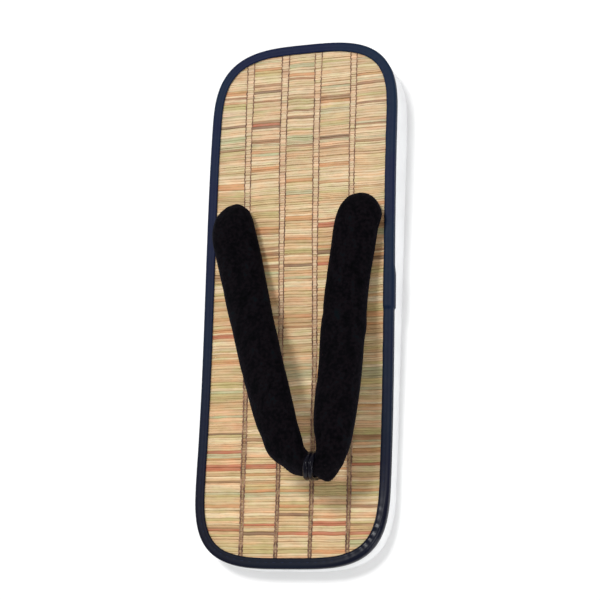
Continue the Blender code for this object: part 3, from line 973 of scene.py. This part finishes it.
def velvet_looks():
    looks = material("black_velvet", srgb(9, 8, 11), 0.9)
    nodes = Nodes(looks)
    pile = nodes.noise(3800, 3.0)
    nap = nodes.noise(620, 3.0)
    brushed = nodes.noise(1.0, 3.0, (260, 110, 260))
    shade = nodes.mix(0.5, nap, brushed)
    nodes.set(
        Base_Color=nodes.ramp(
            shade,
            (0.36, srgb(1, 1, 2)),
            (0.47, srgb(5, 4, 7)),
            (0.56, srgb(14, 9, 13)),
            (0.66, srgb(7, 14, 18)),
        ),
        Roughness=0.95,
        Specular_IOR_Level=0.05,
        Sheen_Weight=0.07,
        Sheen_Roughness=0.4,
        Sheen_Tint=srgb(120, 120, 150),
        Normal=nodes.bump(pile, 0.00022, 0.8, nodes.bump(shade, 0.0006, 0.35)),
    )
    return looks


def finer(mesh, angle, levels):
    """A mesh with its triangles joined where they are nearly flat, then subdivided smoothly."""
    limit = math.radians(angle)
    bmesh.ops.join_triangles(mesh, faces=mesh.faces, angle_face_threshold=limit, angle_shape_threshold=limit)
    data = bpy.data.meshes.new("cage")
    mesh.to_mesh(data)
    mesh.free()
    cage = bpy.data.objects.new("cage", data)
    bpy.context.scene.collection.objects.link(cage)
    subdivision = cage.modifiers.new("finer", "SUBSURF")
    subdivision.levels = levels
    graph = bpy.context.evaluated_depsgraph_get()
    smooth = bpy.data.meshes.new_from_object(cage.evaluated_get(graph))
    bpy.data.objects.remove(cage, do_unlink=True)
    result = bmesh.new()
    result.from_mesh(smooth)
    result.normal_update()
    return result


def make_strap():
    """The velvet strap: its own solid made finer, then pushed and creased."""
    mesh = finer(copied("strap"), 60, 2)
    moved = []
    for vertex in mesh.verts:
        place = vertex.co.copy()
        if place.z > mat_top(place.y) + CREASES_FROM:
            facing = 0.35 + 0.65 * max(vertex.normal.z, abs(vertex.normal.y), 0.0)
            swell = SWELL + SWELL_CHANGE * wander(place.x * 60, place.y * 60, place.z * 60)
            place += vertex.normal * (swell - crease_depth(place) * facing)
        moved.append(pushed(place))
    for vertex, place in zip(mesh.verts, moved):
        vertex.co = place
    strap = add_piece("velvet_strap", mesh, velvet_looks(), ["strap"], sharp_angle=80)


# Toe cord

# The strap's fold, in the section that the cord's loop goes round
FOLD_CENTRE = Vector((-0.018, TOE_TIP - 0.0415, 0.0408))
FOLD_DEPTH = 0.0042
FOLD_HEIGHT = 0.0086

# The cord's loop round it, with its opening in degrees, and the knot under the sole
CORD_SEAT = 0.0008
CORD_SPREAD = 0.0011
CORD_LEAN = 0.9
CORD_OPENING = 14
LOOP_STEPS = 18
CORD_SIDES = 12
CORD_FLATNESS = 0.85
CORD_SQUARENESS = 2.7
KNOT_BOTTOM = 0.0032
KNOT_COIL = 0.0038
KNOT_TURNS = 1.6
KNOT_HEIGHT = 0.0026
KNOT_STEPS = 40
KNOT_SIDES = 8


def cord_route():
    """One run of the cord: up through its hole, round the strap's fold and down again."""
    reach = FOLD_DEPTH + CORD_SEAT
    rise = FOLD_HEIGHT + CORD_SEAT
    mouth = mat_top(TOE_HOLE.y) + CORD_RADIUS
    first = math.asin(CORD_RADIUS / reach) + math.radians(CORD_OPENING)
    loop = []
    for step in range(LOOP_STEPS + 1):
        turn = first + (2 * math.pi - 2 * first) * step / LOOP_STEPS
        loop.append(FOLD_CENTRE + Vector((0, reach * math.sin(turn), -rise * math.cos(turn))))
    under = FOLD_CENTRE.z - rise - CORD_RADIUS
    lean = (FOLD_CENTRE.xy - TOE_HOLE) * CORD_LEAN
    post = [Vector((*TOE_HOLE, KNOT_BOTTOM)), Vector((*TOE_HOLE, foam_top(TOE_HOLE.y)))]
    for share in (0.0, 0.5, 1.0):
        post.append(Vector((*(TOE_HOLE + lean * share), mouth + (under - mouth) * share)))
    ahead = Vector((0, CORD_RADIUS, 0))
    return [point + ahead for point in post] + loop + [point - ahead for point in post[::-1]]


def knot_coil(start):
    """One of the knot's two windings, from a direction at its start, narrower at both ends."""
    coil = []
    for step in range(KNOT_STEPS + 1):
        turn = start + 2 * math.pi * KNOT_TURNS * step / KNOT_STEPS
        away = KNOT_COIL * min(1.0, 0.25 + step / 12, 0.25 + (KNOT_STEPS - step) / 12)
        offset = Vector((math.cos(turn), math.sin(turn), 0)) * away
        coil.append(Vector((*TOE_HOLE, KNOT_BOTTOM + KNOT_HEIGHT * step / KNOT_STEPS)) + offset)
    return coil


def make_toe_cord():
    """The doubled cord round the strap's fold, and its ends wound into a knot under the sole."""
    mesh = bmesh.new()
    across = Vector((1, 0, 0))
    for side in (1, -1):
        route = [pushed(place) + across * CORD_SPREAD * side for place in cord_route()]
        places = smooth_run(route, 4)
        radii = [CORD_RADIUS] * len(places)
        tube(mesh, places, radii, CORD_SIDES, CORD_FLATNESS, CORD_SQUARENESS, side=across)
    for start in (0, math.pi):
        coil = knot_coil(start)
        tube(mesh, coil, [CORD_RADIUS] * len(coil), KNOT_SIDES)
    bmesh.ops.recalc_face_normals(mesh, faces=mesh.faces)
    looks = material("dark_cord", srgb(8, 8, 13), 0.21)
    nodes = Nodes(looks)
    wrap = nodes.noise(1800, 2.0)
    nodes.set(
        Base_Color=nodes.ramp(wrap, (0.3, srgb(6, 6, 11)), (0.7, srgb(13, 12, 24))),
        Specular_IOR_Level=0.11,
        Normal=nodes.bump(wrap, 0.00004, 0.6),
    )
    add_piece("cord", mesh, looks, ["toe_cord"], sharp_angle=60)


# Stage, light and camera

FLOOR_SIZE = 4.0
FLOOR_DROP = 0.0002
WORLD_STRENGTH = 0.49
LIT_PLACE = Vector((0, 0, 0.02))
Lamp = namedtuple("Lamp", "name place size power")
LAMPS = (
    Lamp("key", (0.24, -0.46, 1.88), 0.46, 19),
    Lamp("front", (-0.512, 0.443, 1.45), 0.34, 3.5),
    Lamp("low", (-1.5, 1.2, 0.25), 0.5, 9),
    Lamp("rim", (1.6, -0.45, 0.42), 0.4, 3),
)


def make_stage():
    floor_looks = material("floor", srgb(250, 250, 250), 0.9)
    floor_looks.node_tree.nodes["Principled BSDF"].inputs["Specular IOR Level"].default_value = 0.1
    mesh = bmesh.new()
    bmesh.ops.create_grid(mesh, x_segments=1, y_segments=1, size=FLOOR_SIZE)
    data = bpy.data.meshes.new("floor")
    mesh.to_mesh(data)
    mesh.free()
    data.materials.append(floor_looks)
    floor = bpy.data.objects.new("floor", data)
    floor.location.z = -FLOOR_DROP
    bpy.context.scene.collection.objects.link(floor)


def add_light(lamp):
    data = bpy.data.lights.new(lamp.name, "AREA")
    data.shape = "DISK"
    data.size = lamp.size
    data.energy = lamp.power
    light = bpy.data.objects.new(lamp.name, data)
    light.location = lamp.place
    light.rotation_euler = (LIT_PLACE - Vector(lamp.place)).to_track_quat("-Z", "Y").to_euler()
    bpy.context.scene.collection.objects.link(light)


def make_lights():
    world = bpy.data.worlds.new("studio")
    world.use_nodes = True
    background = world.node_tree.nodes["Background"]
    background.inputs["Color"].default_value = (1.0, 1.0, 1.0, 1.0)
    background.inputs["Strength"].default_value = WORLD_STRENGTH
    bpy.context.scene.world = world
    for lamp in LAMPS:
        add_light(lamp)
    bpy.context.scene.view_settings.view_transform = "Standard"


# Where the photo's camera stood over this sandal, and how it was turned about its own axis
CAMERA_PLACE = Vector((-0.2628, 0.2282, 0.7590))
CAMERA_TARGET = Vector((0.0005, 0.0, 0.0122))
CAMERA_ROLL = 49.05
CAMERA_LENS = 102.0
CAMERA_SENSOR = 36.0


def make_camera():
    lens = bpy.data.cameras.new("camera")
    lens.lens = CAMERA_LENS
    lens.sensor_width = CAMERA_SENSOR
    camera = bpy.data.objects.new("camera", lens)
    camera.location = CAMERA_PLACE
    ahead = CAMERA_TARGET - CAMERA_PLACE
    turned = ahead.to_track_quat("-Z", "Y").to_matrix().to_4x4()
    roll = Matrix.Rotation(-math.radians(CAMERA_ROLL), 4, "Z")
    camera.matrix_world = Matrix.Translation(CAMERA_PLACE) @ turned @ roll
    bpy.context.scene.collection.objects.link(camera)
    bpy.context.scene.camera = camera


make_camera()
make_stage()
make_lights()
make_foam()
make_board()
STRAWS = straw_rows()
make_straws(STRAWS, zone_tones(STRAWS))
make_warps(STRAWS)
make_tape()
make_strap()
make_toe_cord()
